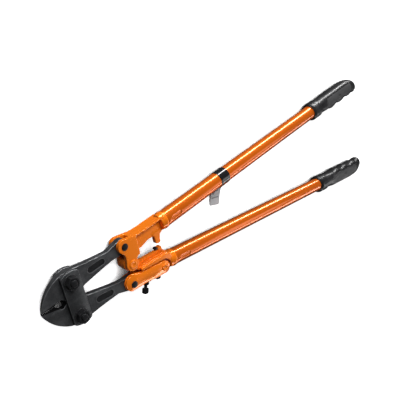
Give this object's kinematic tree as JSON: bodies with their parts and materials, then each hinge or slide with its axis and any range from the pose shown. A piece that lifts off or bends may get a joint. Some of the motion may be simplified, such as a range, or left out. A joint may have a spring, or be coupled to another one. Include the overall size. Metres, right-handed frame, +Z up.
{
  "type": "bolt cutters",
  "caption": "Long handled bolt cutters with forged jaws, steel straps, an adjusting screw, painted tube handles and rubber grips. The handles open and drive the jaws.",
  "frame": {"origin": "under the middle of the tool's bounding box, on the surface it lies on", "axes": "+X from the jaws towards the grips, +Y towards the handle without the adjusting screw, +Z up out of the side with the nuts"},
  "size_m": [0.916, 0.2462, 0.0446],
  "materials": {
    "forged_steel": "forged and blackened, satin",
    "black_steel": "blackened, semi-gloss",
    "orange_paint": "glossy enamel on steel",
    "grip_rubber": "moulded, satin",
    "band_plastic": "glossy tape",
    "tag_paper": "plain coated card"
  },
  "bodies": {
    "lower_handle": {"lower_casting": "orange_paint", "lower_tube": "orange_paint", "lower_grip": "grip_rubber", "link_rivet": "orange_paint", "centre_rivet": "orange_paint", "stop_bumper": "grip_rubber", "lock_screw": "black_steel"},
    "upper_handle": {"upper_casting": "orange_paint", "upper_tube": "orange_paint", "upper_grip": "grip_rubber", "upper_jaw_pin": "black_steel", "tag_band": "band_plastic", "hang_tag": "tag_paper"},
    "upper_jaw": {"jaw_upper": "forged_steel"},
    "straps": {"strap_front": "forged_steel", "strap_back": "forged_steel", "jaw_bolt_upper": "black_steel", "jaw_bolt_lower": "black_steel", "jaw_nut_upper": "black_steel", "jaw_nut_lower": "black_steel", "jaw_washer_upper": "black_steel", "jaw_washer_lower": "black_steel"},
    "lower_jaw": {"jaw_lower": "forged_steel"},
    "link_arm": {"link_front": "orange_paint", "link_back": "orange_paint", "lower_jaw_pin": "black_steel", "adjusting_block": "black_steel"},
    "adjusting_screw": {"adjusting_screw": "black_steel"},
    "jam_nut": {"jam_nut": "black_steel"}
  },
  "joints": [
    {"name": "handles_open", "type": "hinge", "parent": "lower_handle", "child": "upper_handle", "pos_m": [-0.2954, 0, 0.02], "axis": [0, 0, 1], "range_deg": [0, 80]},
    {"name": "upper_jaw_swing", "type": "hinge", "parent": "upper_handle", "child": "upper_jaw", "pos_m": [-0.3021, 0.0353, 0.02], "axis": [0, 0, 1], "range_deg": [-46.3, 0]},
    {"name": "strap_swing", "type": "hinge", "parent": "upper_jaw", "child": "straps", "pos_m": [-0.4051, 0.0294, 0.02], "axis": [0, 0, 1], "range_deg": [0, 6.3]},
    {"name": "lower_jaw_swing", "type": "hinge", "parent": "straps", "child": "lower_jaw", "pos_m": [-0.4051, -0.0294, 0.02], "axis": [0, 0, 1], "range_deg": [0, 6.3]},
    {"name": "adjusting_screw_turn", "type": "hinge", "parent": "link_arm", "child": "adjusting_screw", "pos_m": [-0.2646, -0.0325, 0.02], "axis": [0.342, 0.9397, 0], "range_deg": [-90, 90]},
    {"name": "link_swing", "type": "hinge", "parent": "lower_handle", "child": "link_arm", "pos_m": [-0.2346, -0.0395, 0.02], "axis": [0, 0, 1], "range_deg": [-0.5, 0.5]},
    {"name": "jam_nut_turn", "type": "hinge", "parent": "link_arm", "child": "jam_nut", "pos_m": [-0.2646, -0.0325, 0.02], "axis": [0.342, 0.9397, 0], "range_deg": [-180, 180]}
  ],
  "couplings": [
    {"joint": "upper_jaw_swing", "follows": "handles_open", "ratio": -0.57825},
    {"joint": "strap_swing", "follows": "handles_open", "ratio": 0.07825},
    {"joint": "lower_jaw_swing", "follows": "handles_open", "ratio": 0.07825},
    {"joint": "link_swing", "follows": "adjusting_screw_turn", "ratio": 0.0052}
  ]
}
